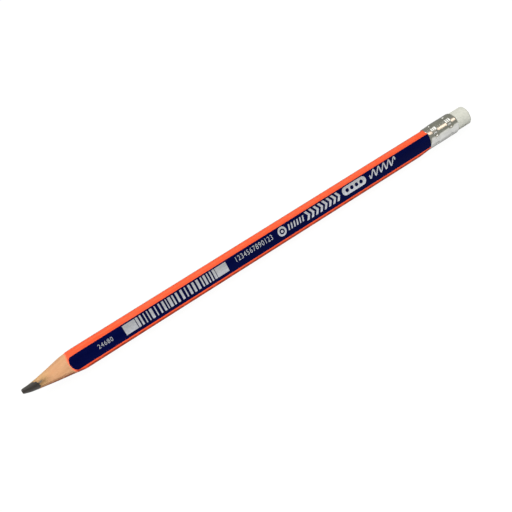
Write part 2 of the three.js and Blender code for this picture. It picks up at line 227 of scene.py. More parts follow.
def towards(angle, degrees):
    """1 in the given direction round the axis, -1 in the opposite one."""
    return np.cos(angle - math.radians(degrees))


def smoothstep(value, low, high):
    share = np.clip((value - low) / (high - low), 0, 1)
    return share * share * (3 - 2 * share)


def lerp(start, end, share):
    return start + (end - start) * share


def ragged(angle, lumps, seed):
    """Smooth noise round the axis, about -1 to 1, with roughly that many lumps in a turn."""
    reach_out = lumps / math.pi
    return np.array([
        2 * noise.noise(Vector((reach_out * math.cos(a), reach_out * math.sin(a), seed)))
        for a in np.atleast_1d(angle)
    ])


# Meshes from rings of points

def ring(angle, place, radius):
    """Points round the axis; place and radius are numbers or one value for each direction.

    The sharpened end lies a little to one side, and this fades out towards the barrel.
    """
    place = np.broadcast_to(place, angle.shape)
    begin = smoothstep(place, X_POINT, X_POINT + CONE_SHIFT_WHOLE)
    fade = 1 - smoothstep(place, X_POINT + CONE_SHIFT_FADE, X_FULL)
    shift = CONE_SHIFT * begin * fade
    side = math.radians(CONE_SHIFT_SIDE)
    y = radius * np.cos(angle) + shift * math.cos(side)
    z = radius * np.sin(angle) + shift * math.sin(side)
    return np.stack([place, y, AXIS_HEIGHT + z], axis=1)


def skin(name, rings, ends):
    """A closed mesh object through rings of equal point count.

    ends is "loop" to join the last ring to the first, "fan" to close both ends on a middle point, or
    "strip" for rings that run out along one side of a sheet and back along the other.
    """
    rings = np.asarray(rings)
    ring_count, count, _ = rings.shape
    points = rings.reshape(-1, 3)
    index = np.arange(ring_count * count).reshape(ring_count, count)
    first, last = index[0].tolist(), index[-1].tolist()
    spans = np.vstack([index, index[:1]]) if ends == "loop" else index
    here, after = spans[:-1], spans[1:]
    quads = np.stack([here, np.roll(here, -1, 1), np.roll(after, -1, 1), after], axis=2)
    faces = quads.reshape(-1, 4).tolist()
    if ends == "fan":
        points = np.vstack([points, rings[0].mean(0), rings[-1].mean(0)])
        start_middle, end_middle = len(points) - 2, len(points) - 1
        for i in range(count):
            j = (i + 1) % count
            faces.append([start_middle, first[j], first[i]])
            faces.append([end_middle, last[i], last[j]])
    if ends == "strip":
        for i in range(count // 2 - 1):
            back = count - 1 - i
            faces.append([first[k] for k in (i + 1, i, back, back - 1)])
            faces.append([last[k] for k in (i, i + 1, back - 1, back)])
    mesh = bpy.data.meshes.new(name)
    mesh.from_pydata(points.tolist(), [], faces)
    return add_object(name, mesh)


def add_object(name, mesh):
    piece = bpy.data.objects.new(name, mesh)
    bpy.context.scene.collection.objects.link(piece)
    return piece


def mark_rings(piece, name, ring_values):
    """Stores one number for each ring as a named attribute of its points."""
    attribute = piece.data.attributes.new(name, "FLOAT", "POINT")
    attribute.data.foreach_set("value", np.repeat(ring_values, STEPS_AROUND))


def finish_piece(piece, nodes=(), material=None):
    """Turns millimetres into metres, shades the piece and ties it to the frame."""
    piece.data.transform(Matrix.Scale(MM, 4))
    piece.data.shade_smooth()
    piece.data.set_sharp_from_angle(angle=SHARP_ANGLE)
    if material:
        piece.data.materials.append(material)
    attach(piece, "root")
    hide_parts(*nodes)


# Node trees

SOCKET_TYPES = {
    float: "NodeSocketFloat",
    int: "NodeSocketInt",
    str: "NodeSocketString",
    tuple: "NodeSocketVector",
    type(None): "NodeSocketGeometry",
}
GEOMETRY_OUT = {"Geometry": None}


class Value:
    """A number that a node gives; arithmetic with it adds Math nodes to its tree."""

    def __init__(self, tree, socket):
        self.tree = tree
        self.socket = socket

    def __add__(self, other):
        return self.tree.math("ADD", self, other)

    def __sub__(self, other):
        return self.tree.math("SUBTRACT", self, other)

    def __rsub__(self, other):
        return self.tree.math("SUBTRACT", other, self)

    def __mul__(self, other):
        return self.tree.math("MULTIPLY", self, other)

    def __truediv__(self, other):
        return self.tree.math("DIVIDE", self, other)

    def __rtruediv__(self, other):
        return self.tree.math("DIVIDE", other, self)


class Tree:
    """A node tree while it is built: add() places one node and wires or sets its inputs."""

    def __init__(self, node_tree):
        self.node_tree = node_tree

    def add(self, kind, inputs=None, **settings):
        node = self.node_tree.nodes.new(kind)
        for name, value in settings.items():
            setattr(node, name, value)
        for key, value in (inputs or {}).items():
            self.feed(node.inputs[key], value)
        return node

    def feed(self, socket, value):
        if isinstance(value, Value):
            value = value.socket
        elif isinstance(value, bpy.types.Node):
            value = value.outputs[0]
        if isinstance(value, bpy.types.NodeSocket):
            self.node_tree.links.new(value, socket)
        else:
            socket.default_value = value

    def use(self, group, inputs):
        kind = "ShaderNodeGroup" if group.bl_idname == "ShaderNodeTree" else "GeometryNodeGroup"
        return self.add(kind, inputs, node_tree=group)

    def done(self, **results):
        """Wires the outputs of a group and returns it."""
        for name, value in results.items():
            self.feed(self.result[name], value)
        return self.node_tree

    def math(self, operation, *values):
        node = self.add("ShaderNodeMath", dict(enumerate(values)), operation=operation)
        return Value(self, node.outputs[0])

    def vectors(self, operation, first, second):
        node = self.add("ShaderNodeVectorMath", {0: first, 1: second}, operation=operation)
        return node.outputs[0]

    def vector(self, x=0.0, y=0.0, z=0.0):
        return self.add("ShaderNodeCombineXYZ", {0: x, 1: y, 2: z}).outputs[0]

    def split(self, vector):
        """The three parts of a vector."""
        node = self.add("ShaderNodeSeparateXYZ", {0: vector})
        return [Value(self, part) for part in node.outputs]

    def between(self, value, low, high, start=0.0, end=1.0):
        """start below low, end above high, and a smooth change between them."""
        node = self.add(
            "ShaderNodeMapRange",
            {"Value": value, "From Min": low, "From Max": high, "To Min": start, "To Max": end},
            interpolation_type="SMOOTHSTEP",
        )
        return Value(self, node.outputs[0])

    def noise(self, place, scale, detail):
        node = self.add("ShaderNodeTexNoise", {"Vector": place, "Scale": scale, "Detail": detail})
        return Value(self, node.outputs["Fac"])

    def blend(self, share, first, second):
        """A colour between two colours."""
        node = self.add("ShaderNodeMix", {0: share, 6: first, 7: second}, data_type="RGBA")
        return node.outputs[2]

    def position(self):
        """The place of each point, in three parts."""
        return self.split(self.add("GeometryNodeInputPosition"))

    def moved(self, geometry, **where):
        """Geometry at a new Position or moved by an Offset."""
        return self.add("GeometryNodeSetPosition", {"Geometry": geometry, **where})

    def grid(self, length, height, columns, rows):
        return self.add("GeometryNodeMeshGrid", {
            "Size X": length, "Size Y": height, "Vertices X": columns, "Vertices Y": rows})

    def row(self, count, first, step):
        return self.add("GeometryNodeMeshLine", {
            "Count": count, "Start Location": first, "Offset": step}, mode="OFFSET")

    def copies(self, instance, points, scale=(1.0, 1.0, 1.0)):
        return self.add("GeometryNodeInstanceOnPoints", {
            "Points": points, "Instance": instance, "Scale": scale})

    def joined(self, *geometries):
        node = self.add("GeometryNodeJoinGeometry")
        for geometry in geometries:
            self.feed(node.inputs[0], geometry)
        return node


def new_group(kind, name, inputs, outputs):
    """A node group with named sockets; inputs and outputs map each name to its default value."""
    group = bpy.data.node_groups.new(name, kind)
    for in_out, sockets in (("INPUT", inputs), ("OUTPUT", outputs)):
        for socket_name, value in sockets.items():
            socket_type = SOCKET_TYPES[type(value)]
            socket = group.interface.new_socket(socket_name, in_out=in_out, socket_type=socket_type)
            if value is not None:
                socket.default_value = value
    tree = Tree(group)
    given = group.nodes.new("NodeGroupInput").outputs
    tree.given = {socket.name: Value(tree, socket) for socket in given if socket.name}
    tree.result = group.nodes.new("NodeGroupOutput").inputs
    return tree


# Surface effects that several finishes share

NOISE_RANGE = (0.3, 0.7)  # most of the noise lies between these values
LINE_WIDTH = 0.25  # noise on each side of a hairline, for a share of 1
SPOT_CORE = 0.6  # part of a speck's radius that is whole
SMUDGE_FADE = 0.75  # how much the way along X counts in a smudge, against the noise
SMUDGE_RANGE = (0.62, 1.25)  # sum of both at which it begins and is whole
UNDERSIDE_SHADE_SOFTNESS = 0.25  # change of a surface's upward part over which the painted underside shade gets whole
UNDERSIDE_SHADE_PATCHES = (0.1, 0.6)  # noise at which it begins and is whole


def make_effect(build, **inputs):
    """A shader group whose mask a function builds from a place in millimetres and further inputs."""
    tree = new_group("ShaderNodeTree", build.__name__, {"place": (0.0, 0.0, 0.0), **inputs}, {"mask": 0.0})
    return tree.done(mask=build(tree, **tree.given))


def mottle(tree, place, size, stretch, detail):
    """Soft patches: size is their width and stretch lengthens them along each axis."""
    patches = tree.noise(tree.vectors("DIVIDE", place, stretch), 1.0 / size, detail)
    return tree.between(patches, *NOISE_RANGE)


def hairlines(tree, place, spacing, length, share):
    """Fine scratches along X: spacing is the distance between them and length how far they run."""
    stretched = tree.vectors("DIVIDE", place, tree.vector(length, spacing, spacing))
    from_middle = tree.math("ABSOLUTE", tree.noise(stretched, scale=1.0, detail=3.0) - 0.5)
    return tree.between(from_middle, 0.0, share * LINE_WIDTH, 1.0, 0.0)


def specks(tree, place, spacing, size, share):
    """Small round spots: this share of the cells of a spacing-wide grid hold a spot of about the size."""
    scale = 1.0 / spacing
    cells = tree.add("ShaderNodeTexVoronoi", {"Vector": place, "Scale": scale}).outputs
    radius = size / 2.0 * scale
    spot = tree.between(cells["Distance"], radius * SPOT_CORE, radius, 1.0, 0.0)
    drawn = tree.add("ShaderNodeSeparateColor", {0: cells["Color"]})
    return spot * tree.math("LESS_THAN", drawn, share)


def smudge(tree, place, start, reach, patch):
    """Dirt that fades away along X from its start, broken up into patches."""
    x, _, _ = tree.split(place)
    fade = tree.between((x - start) / reach, 0.0, 1.0, 1.0, 0.0)
    patches = tree.noise(place, 1.0 / patch, detail=4.0)
    return tree.between(fade * SMUDGE_FADE + patches, *SMUDGE_RANGE)


def grime(tree, place, start, patch):
    """Painted shade on the underside, broken into patches: none where a surface looks up more than start,
    whole a little further down.
    """
    _, _, upward = tree.split(tree.add("ShaderNodeTexCoord").outputs["Normal"])
    down = tree.between(start - upward, 0.0, UNDERSIDE_SHADE_SOFTNESS)
    return down * tree.between(tree.noise(place, 1.0 / patch, detail=3.0), *UNDERSIDE_SHADE_PATCHES)


MOTTLE = make_effect(mottle, size=1.0, stretch=(1.0, 1.0, 1.0), detail=2.0)
HAIRLINES = make_effect(hairlines, spacing=0.3, length=12.0, share=0.1)
SPECKS = make_effect(specks, spacing=0.5, size=0.12, share=0.3)
SMUDGE = make_effect(smudge, start=0.0, reach=3.0, patch=1.0)
# Painted shade: surfaces that face down are darkened in their colour
UNDERSIDE_SHADE = make_effect(grime, start=0.0, patch=1.0)


# Finishes

def colour(red, green, blue):
    """An sRGB colour, 0 to 255, as the linear RGBA that shaders take."""
    linear = [((c / 255 + 0.055) / 1.055) ** 2.4 if c > 10 else c / 255 / 12.92 for c in (red, green, blue)]
    return (*linear, 1.0)


class Finish(Tree):
    """A material while it is built; place is in millimetres on the surface."""

    def __init__(self, name, constants):
        self.material = bpy.data.materials.new(name)
        self.material.use_nodes = True
        super().__init__(self.material.node_tree)
        self.shader = self.node_tree.nodes["Principled BSDF"].inputs
        for socket, value in constants.items():
            self.shader[socket].default_value = value
        place = self.add("ShaderNodeTexCoord").outputs["Object"]
        self.place = self.vectors("MULTIPLY", place, (1 / MM, 1 / MM, 1 / MM))

    def stretched(self, x=1.0, y=1.0, z=1.0):
        return self.vectors("MULTIPLY", self.place, (x, y, z))

    def effect(self, group, **inputs):
        """The mask of a shared surface effect."""
        node = self.use(group, {"place": self.place, **inputs})
        return Value(self, node.outputs["mask"])

    def paint(self, mask, first, second, *layers):
        """Sets the colour: a blend of two, then layers over it, each with a mask, its share and a colour."""
        base = self.blend(mask, colour(*first), colour(*second))
        for layer, share, tint in layers:
            base = self.blend(layer * share, base, colour(*tint))
        self.feed(self.shader["Base Color"], base)

    def roughen(self, level, *parts):
        """Sets the roughness: a level, and masks with the share of each that comes on top."""
        for mask, share in parts:
            level = mask * share + level
        self.feed(self.shader["Roughness"], level)

    def emboss(self, height, depth):
        """Sets the relief, with its depth in millimetres, and returns the finished material."""
        relief = self.add("ShaderNodeBump", {"Height": height, "Strength": 1.0, "Distance": depth * MM})
        self.feed(self.shader["Normal"], relief)
        return self.material


def make_graphite():
    finish = Finish("graphite", {"Specular IOR Level": 0.5, "Sheen Weight": 0.7, "Sheen Roughness": 0.5})
    streaks = finish.effect(MOTTLE, size=0.22, stretch=(7.0, 1.0, 1.0), detail=4.0)
    grains = finish.effect(MOTTLE, size=0.12, detail=3.0)
    turned = finish.effect(MOTTLE, size=0.16, stretch=(1.0, 9.0, 9.0))
    finish.paint(streaks, (28, 22, 18), (41, 34, 29), (grains, 0.4, (20, 16, 13)))
    finish.roughen(0.42, (streaks, 0.12))
    return finish.emboss(turned + grains * 0.6, depth=0.015)


def rubbed_spot(finish, fibres, side, size, full, end):
    """A long spot on the cone at the smear's place: whole up to full half-sizes away, gone at end."""
    x_spot = X_POINT + SMEAR_FROM_POINT
    radius = cone_radius(x_spot)
    y_spot = radius * math.cos(math.radians(side))
    z_spot = radius * math.sin(math.radians(side)) + AXIS_HEIGHT
    offset = finish.vectors("SUBTRACT", finish.place, (x_spot, y_spot, z_spot))
    half_length, half_width = size
    shares = finish.vectors("DIVIDE", offset, (half_length, half_width, half_width))
    away = finish.add("ShaderNodeVectorMath", {0: shares}, operation="LENGTH").outputs["Value"]
    return finish.between(fibres * (end * SMEAR_FRAY) + away, full, end, 1.0, 0.0)


def make_wood():
    finish = Finish("sharpened_wood", {"Specular IOR Level": 0.25})
    bands = finish.effect(MOTTLE, size=0.9, stretch=(9.0, 1.0, 1.6), detail=3.0)
    fibres = finish.effect(MOTTLE, size=0.13, stretch=(16.0, 1.0, 1.0), detail=4.0)
    warm = finish.effect(MOTTLE, size=1.7, stretch=(1.6, 1.0, 1.0), detail=1.0)
    turned = finish.effect(MOTTLE, size=0.2, stretch=(1.0, 14.0, 14.0))
    pores = finish.effect(SPECKS, place=finish.stretched(x=0.2), spacing=0.42, size=0.16, share=0.35)
    dust = finish.effect(SMUDGE, start=X_WOOD - 1.0, reach=3.4, patch=1.3)
    tan = finish.effect(SMUDGE, start=X_WOOD, reach=TAN_REACH, patch=2.5)
    # Painted shade: the wood's underside is darkened towards red-brown
    shade_below = finish.effect(UNDERSIDE_SHADE, start=0.02, patch=1.2)
    smear = rubbed_spot(finish, fibres, SMEAR_SIDE, SMEAR_SIZE, full=0.5, end=1.4)
    halo = rubbed_spot(finish, fibres, HALO_SIDE, HALO_SIZE, full=0.2, end=1.1)
    finish.paint(
        bands, (222, 170, 130), (215, 161, 121),
        (warm, 0.3, (228, 172, 120)),
        (tan, 0.6, (216, 177, 123)),
        (fibres, 0.22, (190, 136, 100)),
        (pores, 0.3, (156, 106, 78)),
        (dust, 0.6, (140, 124, 92)),
        (halo, 0.85, (126, 98, 64)),
        (smear, 0.85, (108, 103, 97)),
        # painted shade on the underside
        (shade_below, 0.9, (123, 61, 46)),
    )
    finish.roughen(0.66, (fibres, 0.12))
    return finish.emboss(turned * 0.5 - fibres * 0.7 - pores, depth=0.03)


def make_lacquer():
    finish = Finish("orange_lacquer", {"Specular IOR Level": 0.08})
    cloud = finish.effect(MOTTLE, size=3.0, stretch=(5.0, 1.0, 1.0), detail=3.0)
    ripple = finish.effect(MOTTLE, size=0.5, stretch=(2.5, 1.0, 1.0))
    scratches = finish.effect(HAIRLINES, spacing=0.35, length=14.0, share=0.08)
    pimples = finish.effect(SPECKS, spacing=2.2, size=0.14, share=0.25)
    # Painted shade: the coat's underside is darkened towards deep red
    shade_below = finish.effect(UNDERSIDE_SHADE, start=0.28, patch=2.0)
    cut = finish.add("ShaderNodeAttribute", attribute_name="cut_edge").outputs["Fac"]
    _, y, z = finish.split(finish.place)
    up = z - AXIS_HEIGHT
    from_axis = finish.math("SQRT", up * up + y * y)
    rub = finish.between(from_axis, EDGE_REACH - RUBBED_DEPTH, EDGE_REACH)
    finish.paint(
        cloud, (254, 92, 53), (252, 97, 61),
        (rub * ripple, 0.25, (255, 136, 98)),
        (scratches, 0.25, (255, 150, 112)),
        (pimples, 0.5, (206, 72, 40)),
        # painted shade on the underside
        (shade_below, 0.85, (136, 38, 20)),
        (Value(finish, cut), 0.8, (255, 142, 108)),
    )
    finish.roughen(0.26, (cloud, 0.06), (scratches, 0.2))
    return finish.emboss(ripple + pimples * 2.0 - scratches, depth=0.004)


def make_stripe_ink():
    finish = Finish("blue_stripe", {"Specular IOR Level": 0.04})
    cloud = finish.effect(MOTTLE, size=2.0, stretch=(7.0, 1.0, 1.0), detail=3.0)
    ripple = finish.effect(MOTTLE, size=0.4, stretch=(2.5, 1.0, 1.0))
    scratches = finish.effect(HAIRLINES, spacing=0.3, length=16.0, share=0.07)
    pimples = finish.effect(SPECKS, spacing=1.8, size=0.12, share=0.3)
    finish.paint(
        cloud, (0, 4, 54), (1, 7, 61),
        (scratches, 0.1, (30, 36, 96)),
        (pimples, 0.4, (2, 2, 34)),
    )
    finish.roughen(0.28, (cloud, 0.08), (scratches, 0.2))
    return finish.emboss(ripple + pimples * 2.0 - scratches, depth=0.004)


def make_foil():
    finish = Finish("silver_foil", {})
    cloud = finish.effect(MOTTLE, size=0.8, stretch=(1.5, 1.0, 1.0), detail=3.0)
    scratches = finish.effect(HAIRLINES, spacing=0.2, length=5.0, share=0.1)
    pinholes = finish.effect(SPECKS, spacing=0.34, size=0.13, share=0.3)
    missing = finish.math("MAXIMUM", pinholes, scratches * 0.5)
    finish.paint(cloud, (220, 222, 230), (203, 206, 217), (missing, 0.6, (30, 34, 92)))
    finish.feed(finish.shader["Metallic"], 0.7 - missing * 0.5)
    finish.roughen(0.34, (cloud, 0.12))
    return finish.emboss(cloud - missing, depth=0.006)


def make_aluminium():
    finish = Finish("drawn_aluminium", {"Metallic": 1.0})
    cloud = finish.effect(MOTTLE, size=1.2, stretch=(2.0, 1.0, 1.0), detail=3.0)
    drawn = finish.effect(MOTTLE, size=0.09, stretch=(30.0, 1.0, 1.0), detail=3.0)
    scratches = finish.effect(HAIRLINES, spacing=0.25, length=4.0, share=0.12)
    dings = finish.effect(SPECKS, spacing=0.9, size=0.16, share=0.3)
    finish.paint(cloud, (212, 212, 209), (200, 200, 197), (dings, 0.3, (150, 148, 142)))
    finish.roughen(0.12, (cloud, 0.05), (scratches, 0.16))
    return finish.emboss(drawn * 0.6 - scratches - dings * 1.5, depth=0.0025)


def make_vinyl():
    finish = Finish("white_vinyl", {"Specular IOR Level": 0.25})
    cloud = finish.effect(MOTTLE, size=1.8, detail=3.0)
    crumbs = finish.effect(MOTTLE, size=0.16, detail=4.0)
    pores = finish.effect(SPECKS, spacing=0.5, size=0.13, share=0.25)
    grey = finish.effect(SMUDGE, place=finish.stretched(x=-1.0), start=-X_END, reach=2.6, patch=1.6)
    # Painted shade: the eraser's underside is darkened towards grey
    shade_below = finish.effect(UNDERSIDE_SHADE, start=0.0, patch=1.4)
    finish.paint(
        cloud, (218, 219, 212), (212, 214, 206),
        (grey, 0.2, (176, 176, 172)),
        (pores, 0.35, (170, 170, 160)),
        # painted shade on the underside
        (shade_below, 0.45, (128, 124, 116)),
    )
    finish.roughen(0.7, (crumbs, 0.15))
    return finish.emboss(crumbs - pores * 1.5, depth=0.012)


# Pieces of the barrel

def paint_edge(angle):
    """Place along X where the sharpener's cut meets the coat."""
    scallop = SCALLOP_DEPTH * edge_share(angle)
    tilt = PAINT_TILT * towards(angle, PAINT_TILT_SIDE)
    return X_PAINT + PAINT_BACK + scallop + tilt + PAINT_CHIP * ragged(angle, *PAINT_CHIPS)


def cone_radius(place):
    """Distance from the axis to the sharpened lead or wood."""
    beyond = place - X_POINT - CONE_BREAK
    return BREAK_RADIUS + np.where(beyond < 0, LEAD_SLOPE, CONE_SLOPE) * beyond


def barrel_radius(place, angle, grow):
    """Distance from the axis to the wood, on the cone or on the barrel; grow adds layers of paint."""
    cone = cone_radius(place) + FEATHER_EDGE + grow
    barrel = section_radius(angle, grow - COAT_THICKNESS)
    overlap = np.maximum(0, CONE_BLEND - np.abs(cone - barrel))
    sharpened = np.minimum(cone, barrel) - overlap**2 / (4 * CONE_BLEND)
    to_shoulder = (X_SHOULDER - place) / TURNED_LENGTH
    return np.minimum(sharpened, lerp(TURNED_RADIUS, EDGE_REACH, to_shoulder) + grow)


def mouth(angle):
    """How far the ferrule's mouth and the barrel's end lie behind their plain place."""
    tilt = MOUTH_TILT / 2 * towards(angle, MOUTH_TILT_SIDE)
    return MOUTH_BACK - tilt - MOUTH_SCALLOP * edge_share(angle)


def barrel_rings(angle, front, grow):
    """Rings from a front edge over the soft shoulder, along the barrel and down to the ferrule."""
    x_turned = X_SHOULDER - TURNED_LENGTH
    places = [lerp(front, X_FULL, share) for share in np.linspace(0, 1, STEPS_ALONG_SHOULDER)]
    places += [np.full_like(angle, place) for place in np.linspace(X_FULL, x_turned, STEPS_ALONG_BARREL)[1:]]
    shares = np.linspace(0, 1, STEPS_ALONG_TURNED + 1)[1:]
    places += [lerp(x_turned, X_SHOULDER + mouth(angle), share) for share in shares]
    return [ring(angle, place, barrel_radius(place, angle, grow)) for place in places]


def smooth_border(angle):
    """Place along X where the lead would end if nothing had torn the wood."""
    return X_POINT + BORDER_FROM_POINT + BORDER_SLANT * towards(angle, BORDER_FAR_SIDE)


def border(angle):
    """Place along X of the ragged border between the lead and the wood."""
    tears = sum(share * ragged(angle, count, seed) for share, count, seed in BORDER_TEARS)
    return smooth_border(angle) + BORDER_TEAR * tears


def lead_radius(place, angle):
    """The lead follows the cone a little way into the wood and is a plain rod from there on."""
    return cone_radius(np.minimum(place, smooth_border(angle) + BORDER_TEAR))


def make_lead(material):
    """The rod, its cone and a blunt point that writing has rubbed down on one side."""
    rings = []
    for turn in np.linspace(0, math.pi / 2, STEPS_ROUND_POINT):
        radius = POINT_RADIUS - POINT_ROUND * (1 - math.sin(turn))
        rings.append(ring(AROUND, X_POINT + POINT_ROUND * (1 - math.cos(turn)), radius))
    longest = X_POINT + BORDER_FROM_POINT + BORDER_SLANT + 2 * BORDER_TEAR
    places = np.linspace(X_POINT + POINT_ROUND, longest, STEPS_ALONG_LEAD)[1:]
    rings += [ring(AROUND, place, lead_radius(place, AROUND)) for place in (*places, X_LEAD_END)]
    facing = np.maximum(0, towards(AROUND, WRITING_SIDE)) ** 2
    for one in rings[:-1]:
        near_point = np.clip(1 - (one[0, 0] - X_POINT) / WRITING_REACH, 0, 1)
        rubbed = WRITING_FACET * near_point * facing
        one[:, 1] -= rubbed * np.cos(AROUND)
        one[:, 2] -= rubbed * np.sin(AROUND)
    finish_piece(skin("lead", rings, "fan"), ["graphite_core"], material)


def ferrule_form(place, angle):
    """Outside of the drawn tube before it is crimped: the barrel's section blends into a round."""
    blend = smoothstep(place, X_FERRULE, X_FERRULE + BLEND_LENGTH)
    roundness = lerp(START_ROUNDNESS, 1, blend)
    taper = 1 - MOUTH_TAPER * (1 - blend)
    lip = LIP_DEPTH * max(0, 1 - (X_RIM - place) / LIP_LENGTH) ** 2
    return lerp(section_radius(angle), FERRULE_RADIUS, roundness) * taper - lip


def make_slat(name, node, start_angle, material):
    """One grooved half of the wood: sharpened cone, barrel and tenon, with the groove for the lead."""
    side = np.sign(math.sin(start_angle + math.pi / 2))
    angle = np.linspace(start_angle, start_angle + math.pi, STEPS_AROUND // 2)
    front, edge = border(angle), paint_edge(angle)
    outside = []
    for share in np.linspace(0, 1, STEPS_ALONG_CONE)[:-1]:
        place = lerp(front, edge, share)
        outside.append(ring(angle, place, barrel_radius(place, angle, 0)))
    outside += barrel_rings(angle, edge, 0)
    turned = section_radius(angle, -COAT_THICKNESS - TENON_CUT)
    for share in np.linspace(0, 1, STEPS_ALONG_TENON):
        place = lerp(X_SHOULDER, X_TENON_END, share)
        inside = ferrule_form(max(place, X_FERRULE), angle) - FERRULE_WALL - TENON_CLEARANCE
        place = lerp(X_SHOULDER + mouth(angle), X_TENON_END, share)
        outside.append(ring(angle, place, np.minimum(turned, inside - CRIMP_DEPTH)))
    rings = []
    for outer in outside:
        place = outer[:, 0]
        bore = ring(angle, place, lead_radius(place, angle) + GLUE_LINE / 2)
        one = np.vstack([outer, bore[::-1]])
        one[:, 2] = AXIS_HEIGHT + side * np.maximum(side * (one[:, 2] - AXIS_HEIGHT), GLUE_LINE / 2)
        rings.append(one)
    finish_piece(skin(name, rings, "strip"), [node], material)


def coat_front(angle):
    """Front of the coat's outer face, cut at the cone's slope."""
    return paint_edge(angle) + COAT_THICKNESS / CONE_SLOPE


def make_coat(material):
    """The orange coat, a thin sleeve over the wood; its cut front is marked for the finish."""
    outer = barrel_rings(AROUND, coat_front(AROUND), COAT_THICKNESS)
    inner = barrel_rings(AROUND, paint_edge(AROUND), 0)
    piece = skin("orange_coat", outer + inner[::-1], "loop")
    mark_rings(piece, "cut_edge", [1.0] + [0.0] * (len(outer) + len(inner) - 2) + [1.0])
    finish_piece(piece, ["base_lacquer"], material)


def make_stripe(name, node, side_angle, material):
    """One blue stripe: a thin sheet on a side, with a rounded front end."""
    across = -np.cos(np.linspace(0, math.pi, STEPS_ACROSS_STRIPE + 1))
    angle = side_angle + stripe_half_angle() * across
    bow = 1 - np.sqrt(1 - np.minimum(1, across**2))
    front = coat_front(angle) + STRIPE_END_ROUND * bow
    top = barrel_rings(angle, front, COAT_THICKNESS + STRIPE_RISE)
    under = barrel_rings(angle, front, COAT_THICKNESS)
    rings = [np.vstack([upper, lower[::-1]]) for upper, lower in zip(top, under)]
    finish_piece(skin(name, rings, "strip"), [node], material)


# Geometry Nodes: helpers

def end_tree(tree, geometry, material):
    """Every tree ends the same way, with real faces that carry their finish."""
    real = tree.add("GeometryNodeRealizeInstances", {"Geometry": geometry})
    coloured = tree.add("GeometryNodeSetMaterial", {"Geometry": real, "Material": material})
    return tree.done(Geometry=coloured)


def run_tree(name, node_tree, sizes, start=None):
    """Runs a tree with these sizes and returns its result as a plain mesh object."""
    piece = start or add_object(name, bpy.data.meshes.new(name))
    modifier = piece.modifiers.new("grow", "NODES")
    modifier.node_group = node_tree
    items = node_tree.interface.items_tree
    sockets = {item.name: item.identifier for item in items if item.in_out == "INPUT"}
    for size, value in sizes.items():
        modifier[sockets[size]] = value
    seen = bpy.context.evaluated_depsgraph_get()
    plain = bpy.data.meshes.new_from_object(piece.evaluated_get(seen), depsgraph=seen)
    piece.modifiers.remove(modifier)
    piece.data = plain
    plain.name = name
    return piece


# Ferrule

CRIMP_SIZES = {
    "tube_radius": FERRULE_RADIUS,
    "dents": CRIMP_COUNT,
    "first_dent": float(SIDE_ANGLES[0]) - math.radians(CRIMP_TURN),
    "dent_diameter": CRIMP_DIAMETER,
    "dent_depth": CRIMP_DEPTH,
    "dent_floor": CRIMP_FLOOR,
    "grooves": GROOVE_COUNT,
    "groove_pitch": GROOVE_PITCH,
    "groove_lean": GROOVE_LEAN,
    "groove_depth": GROOVE_DEPTH,
}
FERRULE_SIZES = {
    "axis_height": AXIS_HEIGHT,
    "barrel_band": X_FERRULE + CRIMP_FROM_BARREL,
    "eraser_band": X_RIM - CRIMP_FROM_ERASER,
    **CRIMP_SIZES,
}


def crimped_band(tree, place, angle, band, tube_radius, dents, first_dent, dent_diameter, dent_depth,
                 dent_floor, grooves, groove_pitch, groove_lean, groove_depth):
    """How deep one band is pressed in: round dents in a ring, and rolled grooves between them."""
    along = place - band
    pitch = 2 * math.pi / dents
    turns = (angle - first_dent) / pitch
    around = (turns - tree.math("ROUND", turns)) * pitch * tube_radius
    away = tree.math("SQRT", along * along + around * around)
    radius = dent_diameter / 2.0
    dent = tree.between(away, radius * dent_floor, radius, dent_depth, 0.0)
    half_count = grooves / 2.0
    counted = along / groove_pitch + half_count
    within = tree.math("FRACT", counted)
    flank = tree.math("MINIMUM", within / groove_lean, (1.0 - within) / (1.0 - groove_lean))
    to_middle = tree.math("ABSOLUTE", counted - half_count)
    in_band = tree.math("LESS_THAN", to_middle, half_count)
    return tree.done(dent=dent, groove=flank * groove_depth * in_band)


def make_crimp_tree(material):
    """Presses the two bands into a drawn tube; the grooves are only on its outer wall."""
    band_inputs = {"place": 0.0, "angle": 0.0, "band": 0.0, **CRIMP_SIZES}
    group = new_group("GeometryNodeTree", "crimped band", band_inputs, {"dent": 0.0, "groove": 0.0})
    band_group = crimped_band(group, **group.given)
    inputs = {"Geometry": None, **FERRULE_SIZES}
    tree = new_group("GeometryNodeTree", "crimped ferrule", inputs, GEOMETRY_OUT)
    given = tree.given
    x, y, z = tree.position()
    angle = tree.math("ARCTAN2", z - given["axis_height"], y)
    outer_wall = tree.add("GeometryNodeInputNamedAttribute", {"Name": "outer_wall"}, data_type="FLOAT")
    shared = {name: given[name] for name in CRIMP_SIZES}
    depth = 0.0
    for band in ("barrel_band", "eraser_band"):
        pressed = tree.use(band_group, {"place": x, "angle": angle, "band": given[band], **shared}).outputs
        grooved = tree.math("MULTIPLY", pressed["groove"], outer_wall.outputs["Attribute"])
        depth = grooved + pressed["dent"] + depth
    inwards = depth * -1.0
    offset = tree.vector(0.0, inwards * tree.math("COSINE", angle), inwards * tree.math("SINE", angle))
    return end_tree(tree, tree.moved(given["Geometry"], Offset=offset), material)


